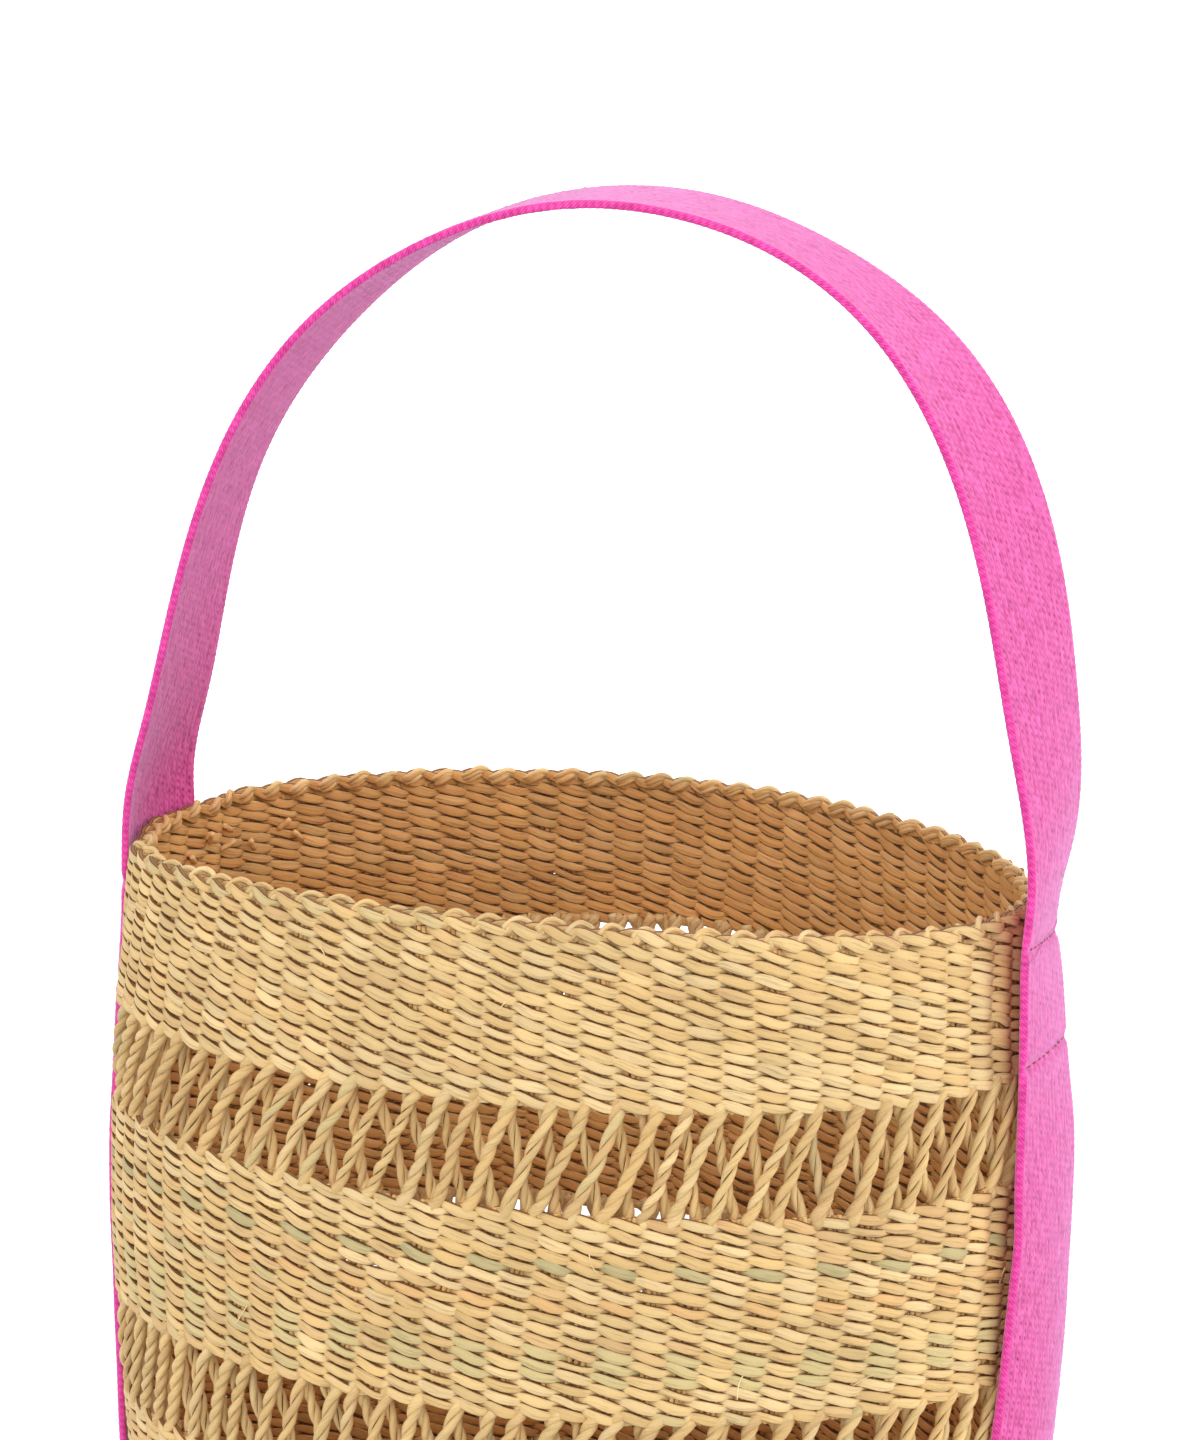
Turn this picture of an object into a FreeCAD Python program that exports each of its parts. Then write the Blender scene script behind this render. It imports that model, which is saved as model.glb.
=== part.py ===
"""Oval market basket: twined grass walls with three openwork bands, carried by a webbing strap.

Millimetres, +Z up. The origin is on the floor under the middle of the basket, X runs along the
oval from one strap to the other and Y runs across it. Every piece is written to parts/.
"""
import FreeCAD, Part
import math
import os

# Height from the floor up to the rim, and the height of each band of the wall from the rim down. The
# middle wall, at the belly, takes what the other bands leave.
rim_height = 280.0
top_wall_height = 47.0
third_wall_height = 49.0
lower_wall_height = 26.7
openwork_height = 28.5
rim_border_height = 6.0

# Half length and half depth of the outer oval at the rim, at the belly and at the base.
rim_half_length = 131.0
rim_half_depth = 80.0
belly_half_length = 134.5
belly_half_depth = 88.0
belly_height = 150.0
base_half_length = 115.0
base_half_depth = 84.0

wall_thickness = 6.8
heel_radius = 12.0
heel_steps = 3

# Stakes: each column of the wall leaves two twisted ropes bare in an openwork band.
column_count = 78
outer_rope_diameter = 3.9
inner_rope_diameter = 2.9
outer_rope_lean = 3   # half columns that an outer rope moves along the wall from foot to top
inner_rope_lean = -2  # half columns that an inner rope moves the other way
outer_rope_sides = 6
inner_rope_sides = 4

# Webbing strap, sewn down both ends of the oval, under the base and up over the hand.
webbing_width = 46.0
webbing_thickness = 3.0
seat_clearance = 0.3
handle_height = 171.0
hinge_above_rim = 10.0
hinge_gap = 0.4
sewn_end_angle = 35.0
handle_end_angle = 52.0

# Hand stitches that hold the strap to the wall, in two rows at each end.
stitch_count = 9
stitch_length = 3.2
stitch_thickness = 0.9
upper_row_below_rim = 12.0
lower_row_below_rim = 43.0

base_level = webbing_thickness + seat_clearance
heel_top = base_level + heel_radius
lower_openwork_bottom = heel_top + lower_wall_height
lower_openwork_top = lower_openwork_bottom + openwork_height
middle_openwork_bottom = lower_openwork_top + third_wall_height
middle_openwork_top = middle_openwork_bottom + openwork_height
upper_openwork_top = rim_height - top_wall_height
upper_openwork_bottom = upper_openwork_top - openwork_height
hinge_height = rim_height + hinge_above_rim


def through_three(height, at_base, at_belly, at_rim):
    """Value at a height of the parabola through the base, belly and rim values."""
    low = (at_belly - at_base) / (belly_height - base_level)
    high = (at_rim - at_belly) / (rim_height - belly_height)
    curve = (high - low) / (rim_height - base_level)
    return at_base + (height - base_level) * (low + curve * (height - belly_height))


def half_length(height):
    """Outer half length of the basket at a height."""
    return through_three(height, base_half_length, belly_half_length, rim_half_length)


def half_depth(height):
    """Outer half depth of the basket at a height."""
    return through_three(height, base_half_depth, belly_half_depth, rim_half_depth)


def oval_points(height, inset, count, shape_height=None):
    """Points at equal steps round an ellipse at a height, inset from the outer wall of shape_height."""
    level = height if shape_height is None else shape_height
    centre = FreeCAD.Vector(0, 0, height)
    ellipse = Part.Ellipse(centre, half_length(level) - inset, half_depth(level) - inset)
    return ellipse.toShape().discretize(count + 1)[:-1]


def oval(height, inset, shape_height=None):
    """Closed outline with one straight side for each column of the weave."""
    points = oval_points(height, inset, column_count, shape_height)
    return Part.makePolygon(points + [points[0]])


def ring(bottom, top):
    """Straight-sided piece of wall between two heights."""
    outer = Part.makeLoft([oval(bottom, 0), oval(top, 0)], True, True)
    inner = Part.makeLoft([oval(bottom, wall_thickness), oval(top, wall_thickness)], True, True)
    return outer.cut(inner)


def heel_wires(radius, inset):
    """Ovals up a quarter round of this radius, which ends at the wall line at heel_top."""
    wires = []
    for step in range(heel_steps + 1):
        angle = math.radians(90.0 * step / heel_steps)
        height = heel_top - radius * math.cos(angle)
        wires.append(oval(height, inset + radius * (1 - math.sin(angle)), heel_top))
    return wires


def heel():
    """Quarter round that joins the base's edge to the foot of the wall."""
    outside = Part.makeLoft(heel_wires(heel_radius, 0), True, True)
    inside = Part.makeLoft(heel_wires(heel_radius - wall_thickness, wall_thickness), True, True)
    return outside.cut(inside).cut(base())


def base():
    """Flat woven base inside the heel."""
    edge = oval(base_level, heel_radius, heel_top)
    return Part.Face(edge).extrude(FreeCAD.Vector(0, 0, wall_thickness))


def rope(foot, head, outward, radius, sides):
    """Straight rope from foot to head with level ends, with a corner or flat square to the wall."""
    axis = head - foot
    along = FreeCAD.Vector(-outward.y, outward.x, 0)
    stretch = axis.Length / axis.z
    corners = []
    for side in range(sides):
        angle = 2 * math.pi * side / sides
        offset = along * (radius * stretch * math.cos(angle)) + outward * (radius * math.sin(angle))
        corners.append(foot + offset)
    end = Part.Face(Part.makePolygon(corners + [corners[0]]))
    return end.extrude(axis)


def ropes(bottom, top, inset, start, lean, radius, sides):
    """One layer of an openwork band: a rope for each column, starting on every other half column."""
    halves = 2 * column_count
    feet = oval_points(bottom, inset, halves)
    heads = oval_points(top, inset, halves)
    level = (bottom + top) / 2
    made = []
    for index in range(start, halves, 2):
        foot = feet[index]
        head = heads[(index + lean) % halves]
        middle = (foot + head) * 0.5
        outward = FreeCAD.Vector(middle.x / half_length(level) ** 2, middle.y / half_depth(level) ** 2, 0)
        made.append(rope(foot, head, outward.normalize(), radius, sides))
    return Part.makeCompound(made)


def outer_ropes(bottom, top, start):
    """Outer layer, flush with the outside of the walls above and below."""
    radius = outer_rope_diameter / 2
    return ropes(bottom, top, radius, start, outer_rope_lean, radius, outer_rope_sides)


def inner_ropes(bottom, top, start):
    """Inner layer, flush with the inside of the walls above and below."""
    radius = inner_rope_diameter / 2
    return ropes(bottom, top, wall_thickness - radius, 1 - start, inner_rope_lean, radius, inner_rope_sides)


def wall_line(side, offset):
    """Line of the wall in the XZ plane at one end of the oval, from the hinge down to the heel."""
    heights = [hinge_height, rim_height, upper_openwork_top, upper_openwork_bottom, middle_openwork_top,
               middle_openwork_bottom, lower_openwork_top, lower_openwork_bottom, heel_top]
    return [FreeCAD.Vector(side * (half_length(min(h, rim_height)) + offset), 0, h) for h in heights]


def heel_arc(side, offset):
    """Quarter round at the heel, this far outside it, from the wall down to the base."""
    centre_x = side * (half_length(heel_top) - heel_radius)
    radius = heel_radius + offset
    slant = radius * math.sqrt(0.5)
    start = FreeCAD.Vector(centre_x + side * radius, 0, heel_top)
    middle = FreeCAD.Vector(centre_x + side * slant, 0, heel_top - slant)
    end = FreeCAD.Vector(centre_x, 0, heel_top - radius)
    return Part.Arc(start, middle, end).toShape()


def band(edges):
    """Flat outline in the XZ plane made into webbing, as wide as the strap."""
    face = Part.Face(Part.Wire(edges))
    face.translate(FreeCAD.Vector(0, -webbing_width / 2, 0))
    return face.extrude(FreeCAD.Vector(0, webbing_width, 0))


def fold_wedge(angle, up):
    """What is kept of the strap beside a fold: it opens from a point at the hinge, up or down."""
    reach = webbing_width
    span = 2 * half_length(rim_height) + 4 * reach
    tip = hinge_height + up * hinge_gap
    shoulder = tip + up * reach * math.tan(math.radians(angle))
    far = shoulder + up * (rim_height + handle_height)
    outline = [(0, tip), (reach, shoulder), (reach, far), (-reach, far), (-reach, shoulder), (0, tip)]
    points = [FreeCAD.Vector(-span / 2, y, z) for y, z in outline]
    return Part.Face(Part.makePolygon(points)).extrude(FreeCAD.Vector(span, 0, 0))


def side_webbing(side):
    """Strap down one end of the oval, from the fold above the rim to the heel."""
    near = wall_line(side, seat_clearance)
    far = wall_line(side, seat_clearance + webbing_thickness)
    inner_arc = heel_arc(side, seat_clearance)
    outer_arc = heel_arc(side, seat_clearance + webbing_thickness)
    joint = Part.makeLine(inner_arc.Vertexes[-1].Point, outer_arc.Vertexes[-1].Point)
    end = Part.makeLine(far[0], near[0])
    edges = Part.makePolygon(near).Edges + [inner_arc, joint, outer_arc] + Part.makePolygon(far).Edges + [end]
    return band(Part.__sortEdges__(edges)).common(fold_wedge(sewn_end_angle, -1))


def base_webbing():
    """Strap under the base, on which the basket stands."""
    end = half_length(heel_top) - heel_radius
    corner = FreeCAD.Vector(-end, -webbing_width / 2, 0)
    return Part.makeBox(2 * end, webbing_width, webbing_thickness, corner)


def arch(offset):
    """Three-centred arch in the XZ plane, standing on the two folds, this far outside its inner line."""
    reach = half_length(rim_height) + seat_clearance
    crown = reach ** 2 / handle_height
    flank = (crown ** 2 - reach ** 2 - (handle_height - crown) ** 2) / (2 * (crown - reach))
    tilt = math.atan2(handle_height - crown, flank - reach)
    edges = []
    for side in (-1, 1):
        centre = FreeCAD.Vector(side * (reach - flank), 0, hinge_height)
        turns = [FreeCAD.Vector(side * math.cos(angle), 0, math.sin(angle)) for angle in (0, tilt / 2, tilt)]
        edges.append(Part.Arc(*[centre + turn * (flank + offset) for turn in turns]).toShape())
    top = FreeCAD.Vector(0, 0, hinge_height + handle_height + offset)
    edges.insert(1, Part.Arc(edges[0].Vertexes[-1].Point, top, edges[1].Vertexes[-1].Point).toShape())
    return edges


def handle():
    """Free part of the strap, from one fold over the hand to the other."""
    inner = arch(0)
    outer = arch(webbing_thickness)
    ends = [Part.makeLine(inner[foot].Vertexes[0].Point, outer[foot].Vertexes[0].Point) for foot in (0, 2)]
    return band(Part.__sortEdges__(inner + outer + ends)).common(fold_wedge(handle_end_angle, 1))


def stitches(side, below_rim):
    """Row of hand stitches across the strap, lying on its outer face."""
    foot = wall_line(side, seat_clearance + webbing_thickness)[2]
    head = wall_line(side, seat_clearance + webbing_thickness)[1]
    run = (head - foot).normalize()
    out = FreeCAD.Vector(side * run.z, 0, -side * run.x)
    share = (rim_height - below_rim - foot.z) / (head.z - foot.z)
    middle = foot + (head - foot) * share
    pitch = webbing_width / stitch_count
    made = []
    for index in range(stitch_count):
        y = (index - (stitch_count - 1) / 2) * pitch
        corner = middle + FreeCAD.Vector(0, y - stitch_length / 2, 0) - run * (stitch_thickness / 2)
        width = FreeCAD.Vector(0, stitch_length, 0)
        points = [corner, corner + width, corner + width + run * stitch_thickness, corner + run * stitch_thickness]
        face = Part.Face(Part.makePolygon(points + [corner]))
        made.append(face.extrude(out * stitch_thickness))
    return Part.makeCompound(made)


def build():
    """All the pieces by name."""
    pieces = {
        "base": base(),
        "heel": heel(),
        "lower_wall": ring(heel_top, lower_openwork_bottom),
        "third_wall": ring(lower_openwork_top, middle_openwork_bottom),
        "middle_wall": ring(middle_openwork_top, upper_openwork_bottom),
        "top_wall": ring(upper_openwork_top, rim_height - rim_border_height),
        "rim_border": ring(rim_height - rim_border_height, rim_height),
        "base_webbing": base_webbing(),
        "handle": handle(),
    }
    bands = {
        "upper": (upper_openwork_bottom, upper_openwork_top, 0),
        "middle": (middle_openwork_bottom, middle_openwork_top, 1),
        "lower": (lower_openwork_bottom, lower_openwork_top, 0),
    }
    for name, (bottom, top, start) in bands.items():
        pieces[name + "_openwork_outer_ropes"] = outer_ropes(bottom, top, start)
        pieces[name + "_openwork_inner_ropes"] = inner_ropes(bottom, top, start)
    for name, side in (("left", -1), ("right", 1)):
        pieces[name + "_webbing"] = side_webbing(side)
        pieces[name + "_upper_stitches"] = stitches(side, upper_row_below_rim)
        pieces[name + "_lower_stitches"] = stitches(side, lower_row_below_rim)
    return pieces


os.makedirs("parts", exist_ok=True)
for node, shape in build().items():
    shape.exportStep("parts/" + node + ".step")
    print(node, len(shape.Solids), "solids", round(shape.Volume), "mm3", shape.isValid())
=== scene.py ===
import bpy
import math
import numpy as np
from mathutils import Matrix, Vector


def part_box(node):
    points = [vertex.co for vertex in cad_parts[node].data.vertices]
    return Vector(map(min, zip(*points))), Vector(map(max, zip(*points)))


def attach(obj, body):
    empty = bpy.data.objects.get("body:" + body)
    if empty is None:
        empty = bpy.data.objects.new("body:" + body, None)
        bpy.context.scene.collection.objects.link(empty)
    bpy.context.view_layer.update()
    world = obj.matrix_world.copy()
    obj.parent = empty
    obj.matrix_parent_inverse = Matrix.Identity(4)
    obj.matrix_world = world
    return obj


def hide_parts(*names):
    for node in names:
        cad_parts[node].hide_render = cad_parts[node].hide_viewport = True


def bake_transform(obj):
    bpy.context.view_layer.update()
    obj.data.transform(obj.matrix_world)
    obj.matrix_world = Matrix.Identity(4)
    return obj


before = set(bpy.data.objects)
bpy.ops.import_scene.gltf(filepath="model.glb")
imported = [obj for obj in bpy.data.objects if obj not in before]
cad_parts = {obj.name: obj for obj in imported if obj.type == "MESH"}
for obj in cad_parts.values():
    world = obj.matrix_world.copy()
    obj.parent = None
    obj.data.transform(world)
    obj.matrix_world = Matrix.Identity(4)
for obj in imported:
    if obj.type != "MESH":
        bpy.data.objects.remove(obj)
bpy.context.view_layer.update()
mm = 0.001
print("frame loaded,", len(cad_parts), "nodes")


def paint(red, green, blue):
    # a colour given as 0 to 255 on a screen, turned into the linear numbers that nodes take
    part = np.array([red, green, blue]) / 255
    return tuple(np.where(part < 0.04045, part / 12.92, ((part + 0.055) / 1.055) ** 2.4))


# sizes of the weave and of its irregularities; the wall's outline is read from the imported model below.
# Each wander is a share of a column, a count round the oval, a height and a start. Each drift is a share
# of a column, a place round the oval, and the height it starts from and grows over
wall = {
    "columns": 78,
    "rowPitch": 3.25 * mm,
    "heelGuess": 12 * mm,
    "lean": -2.4 * mm,
    "leanOver": 110 * mm,
    "saddle": 2.3 * mm,
    "backLift": 4.6 * mm,
    "backLiftAt": 9 * mm,
    "backLiftHalf": 44 * mm,
    "backLiftFade": 24 * mm,
    "pressed": [(60, 0), (100, 0.5), (125, 2.0), (150, 3.0), (190, 3.2), (225, 3.7), (252, 4.1),
                (282, 4.2)],
    "pressedHalf": 24 * mm,
    "pressedFade": 9 * mm,
    "wander": [(0.10, 2, 130 * mm, 0.8), (0.09, 5, -72 * mm, 2.1), (0.05, 11, 47 * mm, 4.0)],
    "drift": [(-1.2, 3.7, 280 * mm, 60 * mm), (-0.7, 5.5, 205 * mm, 60 * mm)],
}


def nodePoints(name):
    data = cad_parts[name].data
    points = np.empty(len(data.vertices) * 3)
    data.vertices.foreach_get("co", points)
    return points.reshape(-1, 3)


def wallCurves():
    # half length and half depth of the outer wall, each as a parabola of the height
    rows = []
    for name in ("third_wall", "middle_wall", "top_wall", "rim_border"):
        points = nodePoints(name)
        for level in (points[:, 2].min(), points[:, 2].max()):
            edge = np.abs(points[np.abs(points[:, 2] - level) < 1e-5])
            rows.append((level, edge[:, 0].max(), edge[:, 1].max()))
    level, length, depth = np.array(rows).T
    return np.polyfit(level, length, 2), np.polyfit(level, depth, 2)


def band(name):
    low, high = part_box(name)
    return low.z, high.z


lengthCurve, depthCurve = wallCurves()
baseLow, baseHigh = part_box("base")
thickness = baseHigh.z - baseLow.z
heelRadius = np.polyval(lengthCurve, baseLow.z + wall["heelGuess"]) - baseHigh.x
heelTop = baseLow.z + heelRadius
heelArc = heelRadius * math.pi / 2
rimTop = band("rim_border")[1]
topBottom = band("top_wall")[0]
middleBottom, middleTop = band("middle_wall")
thirdBottom, thirdTop = band("third_wall")
lowerTop = band("lower_wall")[1]


def columnAngle():
    # ellipse angle at equal steps of arc round the oval, as a table to look columns up in
    angle = np.linspace(0, 2 * np.pi, 4001)
    x = np.polyval(lengthCurve, middleTop) * np.cos(angle)
    y = np.polyval(depthCurve, middleTop) * np.sin(angle)
    arc = np.concatenate([[0], np.cumsum(np.hypot(np.diff(x), np.diff(y)))])
    return arc / arc[-1] * wall["columns"], angle, arc[-1] / wall["columns"]


columnTable, angleTable, columnPitch = columnAngle()


def wandered(column, level):
    # the columns don't stand quite straight: a few sines of the place round the oval and the height, and
    # sideways drifts that are strongest at one place round the oval and grow over a stretch of height
    turn = 2 * np.pi * column / wall["columns"]
    sway = sum(size * np.sin(count * turn + 2 * np.pi * level / length + start)
               for size, count, length, start in wall["wander"])
    drift = sum(size * (0.5 + 0.5 * np.cos(turn - centre)) ** 3 * np.clip((top - level) / over, 0, 1)
                for size, centre, top, over in wall["drift"])
    return column + sway + drift


def leanAt(height):
    # the basket stands a little askew: its lower part lies this far along x from under the rim
    return wall["lean"] * np.clip((rimTop - height) / wall["leanOver"], 0, 1)


def pressedAt(height):
    # the strap at the left end is pulled into the wall by this much at each height
    return np.interp(height / mm, *np.array(wall["pressed"]).T) * mm


def wovenSurface(column, level):
    # the middle of the wall's thickness: an ellipse whose half sizes follow the height, then below
    # heelTop a quarter round turned inwards, then flat, with level going on down as distance walked.
    # The rim dips at the two ends and rises at the two faces as cosine of twice the ellipse angle, and
    # the top band's lower edge rises at the back as a bell curve of x. The left end is pressed in by a
    # smooth step of the distance from the middle of the strap
    column, level = np.broadcast_arrays(np.asarray(column, float), np.asarray(level, float))
    angle = np.interp(wandered(column, level) % wall["columns"], columnTable, angleTable)
    cosine, sine = np.cos(angle), np.sin(angle)
    below = np.clip(heelTop - level, 0, None)
    turn = np.minimum(below / heelRadius, np.pi / 2)
    inward = heelRadius * (1 - np.cos(turn)) + np.clip(below - heelArc, 0, None)
    height = np.where(below > 0, heelTop - heelRadius * np.sin(turn), level)
    x = np.maximum(np.polyval(lengthCurve, np.maximum(level, heelTop)) - inward, mm)
    y = np.maximum(np.polyval(depthCurve, np.maximum(level, heelTop)) - inward, mm)
    size = np.hypot(y * cosine, x * sine)
    flat = np.stack([y * cosine / size, x * sine / size, 0 * size], -1)
    lift = np.array([0.0, 0.0, 1.0])
    cosTurn, sinTurn = np.cos(turn)[..., None], np.sin(turn)[..., None]
    outward = flat * cosTurn - lift * sinTurn
    upward = flat * sinTurn + lift * cosTurn
    saddle = wall["saddle"] * np.cos(2 * angle) * np.clip((level - topBottom) / (rimTop - topBottom), 0, 1.1)
    nearEdge = np.where(level > topBottom, (rimTop - level) / (rimTop - topBottom),
                        1 - (topBottom - level) / wall["backLiftFade"])
    bell = np.exp(-((x * cosine - wall["backLiftAt"]) / wall["backLiftHalf"]) ** 2)
    saddle = saddle - wall["backLift"] * bell * (sine > 0) * np.clip(nearEdge, 0, 1)
    groove = wall["pressedHalf"] + wall["pressedFade"] - np.abs(y * sine)
    groove = np.clip(groove / wall["pressedFade"], 0, 1)
    groove = groove * groove * (3 - 2 * groove) * pressedAt(height) * (cosine < 0)
    point = np.stack([x * cosine + leanAt(height) + groove, y * sine, height - saddle], -1)
    return point - outward * thickness / 2, outward, upward


def spline(at, values, query):
    # natural cubic curve through values at the given distances, worked out for each query distance
    gap = np.diff(at)
    count = len(at)
    system = np.eye(count)
    right = np.zeros((count, values.shape[1]))
    middle = np.arange(1, count - 1)
    system[middle, middle - 1] = gap[:-1]
    system[middle, middle] = 2 * (gap[:-1] + gap[1:])
    system[middle, middle + 1] = gap[1:]
    slope = np.diff(values, axis=0) / gap[:, None]
    right[middle] = 6 * np.diff(slope, axis=0)
    bend = np.linalg.solve(system, right)
    cell = np.clip(np.searchsorted(at, query) - 1, 0, count - 2)
    width = gap[cell][:, None]
    low = (at[cell + 1] - query)[:, None]
    high = (query - at[cell])[:, None]
    return (bend[cell] * low ** 3 + bend[cell + 1] * high ** 3) / (6 * width) \
        + (values[cell] / width - bend[cell] * width / 6) * low \
        + (values[cell + 1] / width - bend[cell + 1] * width / 6) * high


def unit(vectors):
    return vectors / np.maximum(np.linalg.norm(vectors, axis=-1, keepdims=True), 1e-12)


def fill(layer, key, values):
    layer.data.foreach_set(key, values.astype(np.float32).ravel())


def corners(*pairs):
    # uv points of the four corners of each face, from pairs of arrays
    return np.stack([np.stack(pair, -1) for pair in pairs], -2).reshape(-1, 2)


def makeObject(name, points, faces, colours=None, uvs=None, floats=None, belt=None):
    # faces is a list of index arrays, one array for each number of corners. The floats are numbers for
    # each point, and belt is one for each corner of each face
    mesh = bpy.data.meshes.new(name)
    cornerPoints = np.concatenate([block.ravel() for block in faces])
    sizes = np.concatenate([np.full(len(block), block.shape[1]) for block in faces])
    mesh.vertices.add(len(points))
    mesh.vertices.foreach_set("co", points.astype(np.float32).ravel())
    mesh.loops.add(len(cornerPoints))
    mesh.loops.foreach_set("vertex_index", cornerPoints.astype(np.int32))
    mesh.polygons.add(len(sizes))
    mesh.polygons.foreach_set("loop_start", np.concatenate([[0], np.cumsum(sizes)[:-1]]).astype(np.int32))
    mesh.update(calc_edges=True)
    mesh.polygons.foreach_set("use_smooth", np.ones(len(sizes), bool))
    if uvs is not None:
        fill(mesh.uv_layers.new(name="strand"), "uv", uvs)
    if colours is not None:
        fill(mesh.color_attributes.new(name="straw", type="FLOAT_COLOR", domain="POINT"), "color",
             np.concatenate([colours, np.ones((len(colours), 1))], 1))
    for label, values in (floats or {}).items():
        fill(mesh.attributes.new(name=label, type="FLOAT", domain="POINT"), "value", values)
    if belt is not None:
        fill(mesh.attributes.new(name="belt", type="FLOAT", domain="CORNER"), "value", belt)
    piece = bpy.data.objects.new(name, mesh)
    bpy.context.scene.collection.objects.link(piece)
    return piece


def circle(count):
    return [(math.cos(turn), math.sin(turn)) for turn in np.linspace(0, 2 * np.pi, count, endpoint=False)]


# cross-sections as outward and sideways shares of the half sizes: a round stem, one ply of a rope and a
# flattened ribbon
sections = {
    "round": circle(6),
    "ply": circle(8),
    "ribbon": [(1, 0.72), (0.6, 0.98), (-0.66, 0.95), (-1, 0.58), (-1, -0.58), (-0.66, -0.95), (0.6, -0.98),
               (1, -0.72)],
}


def tubes(name, centre, hint, section, colours, halfOut, halfSide=None, meeting=1.0, inwards=1.0):
    # many tubes at once: centre is tubes x points x 3, and at each point the section is drawn out by
    # halfOut along the hint direction made square to the path and by halfSide across it, or by halfOut
    # both ways. Ribbons go all the way round the basket and close on themselves. The contact
    # number rises to one where the tube meets its neighbours: at its two sides, or for a ply of a rope
    # on the side that faces the other ply, and the material paints shade there. A ribbon has instead a
    # belt number that counts the points round its section, for painted shade on its corners. The side
    # that faces into the basket gets painted shade, a redder brown
    closed = section == "ribbon"
    if closed:
        ahead = np.roll(centre, -1, 1) - np.roll(centre, 1, 1)
    else:
        ahead = np.gradient(centre, axis=1)
    ahead = unit(ahead)
    out = unit(hint - ahead * (hint * ahead).sum(-1, keepdims=True))
    side = np.cross(out, ahead)
    count, steps = centre.shape[:2]
    shareOut, shareSide = np.array(sections[section]).T
    sides = len(shareOut)
    halfSide = halfOut if halfSide is None else halfSide
    halfOut, halfSide = (np.broadcast_to(half, (count, steps))[:, :, None, None]
                         for half in (halfOut, halfSide))
    points = (centre[:, :, None] + out[:, :, None] * halfOut * shareOut[:, None]
              + side[:, :, None] * halfSide * shareSide[:, None])
    index = np.arange(count * steps * sides).reshape(count, steps, sides)
    here = index if closed else index[:, :-1]
    after = np.roll(index, -1, 1) if closed else index[:, 1:]
    quads = np.stack([here, np.roll(here, -1, 2), np.roll(after, -1, 2), after], -1)
    faces = [quads.reshape(-1, 4)]
    walked = np.linalg.norm(np.diff(centre, axis=1, append=centre[:, :1]), axis=-1)
    along = np.concatenate([np.zeros((count, 1)), np.cumsum(walked, 1)], 1)[:, :here.shape[1] + 1]
    around = np.arange(sides + 1) / sides * 2 * np.pi * float(np.mean(halfSide + halfOut)) / 2
    jump = np.arange(count)[:, None, None] * grass["fibreShift"]
    start = np.broadcast_to(along[:, :-1, None], here.shape) + jump
    finish = np.broadcast_to(along[:, 1:, None], here.shape) + jump
    near = np.broadcast_to(around[:-1], here.shape)
    far = np.broadcast_to(around[1:], here.shape)
    uvs = [corners((start, near), (start, far), (finish, far), (finish, near))]
    if not closed:
        faces += [index[:, 0, ::-1], index[:, -1, :]]
        uvs += [np.zeros((2 * count * sides, 2))]
    belt = np.full(sum(block.size for block in faces), grass["noBelt"])
    # painted shade: points of the section that face into the basket are darkened to a redder brown
    inner = 1.0 * (shareOut < grass["innerShadeFrom"])
    if section == "ply":
        contact, inner = grass["plyContact"] - shareOut, 0 * shareOut
    elif closed:
        contact = grass["ribbonContact"] * np.abs(shareSide)
        belt = np.broadcast_to((np.arange(sides)[:, None] + (0, 1, 1, 0)), quads.shape)
    else:
        contact = meeting * np.abs(shareSide)
    inner = (inner * np.broadcast_to(inwards, (count, steps))[..., None])[..., None]
    innerShadeFactor = 1 - inner * (1 - np.array(grass["innerShade"]))
    shades = np.broadcast_to(colours, (count, steps, 3))[:, :, None] * innerShadeFactor
    return makeObject(name, points.reshape(-1, 3), faces, shades.reshape(-1, 3), np.concatenate(uvs),
                      {"contact": np.broadcast_to(contact, (count, steps, sides))}, belt)


# colours that lengths of dried grass come in, and how common each is in plain and in even rows
grass = {
    "shades": [
        (paint(226, 193, 134), 30, 40),
        (paint(221, 185, 125), 24, 30),
        (paint(231, 200, 145), 14, 12),
        (paint(219, 182, 126), 9, 14),
        (paint(227, 198, 144), 6, 2),
        (paint(214, 189, 134), 2.5, 2),
        (paint(202, 184, 132), 0.1, 0),
        (paint(220, 178, 121), 0.8, 0),
    ],
    "green": paint(190, 174, 124),
    "orange": paint(225, 181, 121),
    "olive": paint(210, 189, 133),
    "stitchesPerLength": 7,
    "unevenness": 0.05,
    # painted shade: the brown that strands are darkened to where they meet and along the long corners of
    # ribbons, and the ranges of the contact and belt numbers over which it comes in
    "contactShade": (0.22, 0.095, 0.022),
    "contactShadeRange": (0.80, 0.97),
    "plyContact": 0.25,
    "ribbonContact": 0.95,
    "noBelt": 3.5,
    "beltShadeRange": (0.40, 0.14),
    # painted shade: the redder brown that the points facing into the basket are multiplied by, and the
    # outward share below which they get it
    "innerShade": (0.98, 0.758, 0.567),
    "innerShadeFrom": -0.8,
    "fibreShift": 0.37,
}
paletteColumns = {"plain": 1, "even": 2}


def strandColours(dice, shape, palette="even"):
    # each strand is spliced from lengths of grass, so its colour holds for a few stitches at a time
    weights = np.array([shade[paletteColumns[palette]] for shade in grass["shades"]], float)
    shades = np.array([shade[0] for shade in grass["shades"]])
    fresh = dice.random(shape) < 1 / grass["stitchesPerLength"]
    length = np.cumsum(fresh, -1)
    choice = dice.choice(len(shades), size=shape[:-1] + (shape[-1] + 1,), p=weights / weights.sum())
    picked = np.take_along_axis(choice, length, -1)
    bright = 1 + grass["unevenness"] * dice.normal(size=shape)
    return shades[picked] * bright[..., None]


def spread(values, segments):
    # one value for each stitch, eased from stitch to stitch round the row
    step = np.arange(values.shape[-1] * segments)
    first = step // segments
    share = (step % segments) / segments
    share = share * share * (3 - 2 * share)
    return values[..., first] * (1 - share) + np.roll(values, -1, -1)[..., first] * share


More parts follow.
